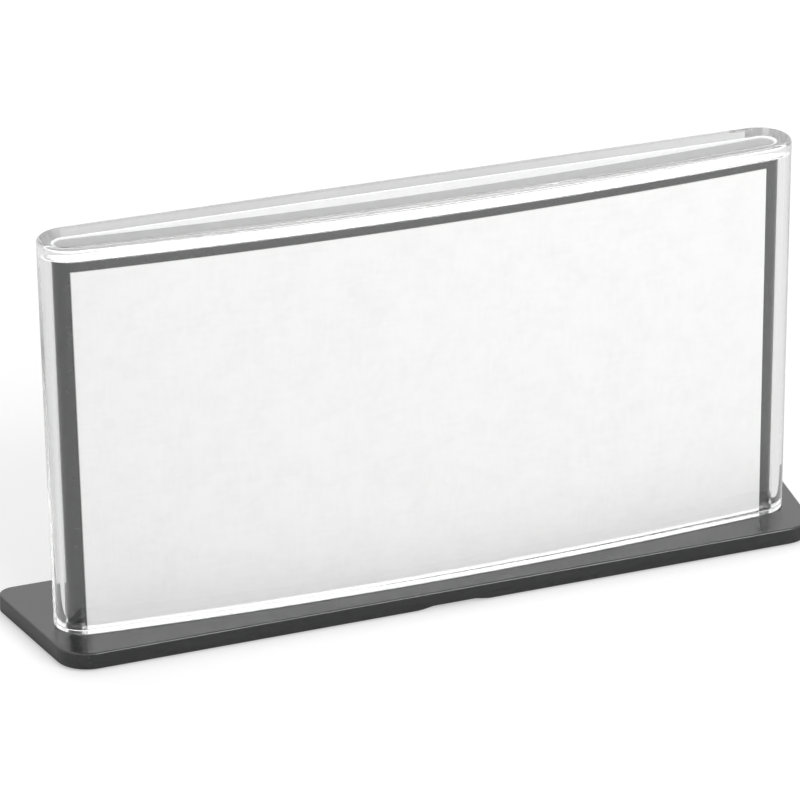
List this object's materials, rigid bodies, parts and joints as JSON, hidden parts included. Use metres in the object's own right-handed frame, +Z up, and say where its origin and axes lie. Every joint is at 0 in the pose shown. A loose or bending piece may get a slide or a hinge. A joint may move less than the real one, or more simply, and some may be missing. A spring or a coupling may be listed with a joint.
{
  "type": "desk name plate",
  "caption": "Desk name plate: a clear slip-over hood with a bowed front stands on a flat charcoal base and covers an upright panel with a bare white card.",
  "frame": {"origin": "on the desk surface, under the middle of the base plate's outline", "axes": "+X along the plate, to the right as seen from the front; the bowed front faces -Y; +Z up, the way the hood lifts off"},
  "size_m": [0.1738, 0.036, 0.0867],
  "materials": {
    "charcoal_plastic": "satin, fine moulded grain",
    "white_card": "uncoated",
    "clear_plastic": "polished, clear",
    "screw_steel": "zinc plated",
    "pad_rubber": "matt"
  },
  "bodies": {
    "stand": {"base_plate": "charcoal_plastic", "core_panel": "charcoal_plastic", "name_card": "white_card", "panel_screws": "screw_steel", "foot_pad_front_left": "pad_rubber", "foot_pad_front_right": "pad_rubber", "foot_pad_back_left": "pad_rubber", "foot_pad_back_right": "pad_rubber"},
    "hood": {"clear_hood": "clear_plastic"}
  },
  "joints": [
    {"name": "hood_lift", "type": "slide", "parent": "stand", "child": "hood", "axis": [0, 0, 1], "range_m": [0, 0.1]}
  ]
}
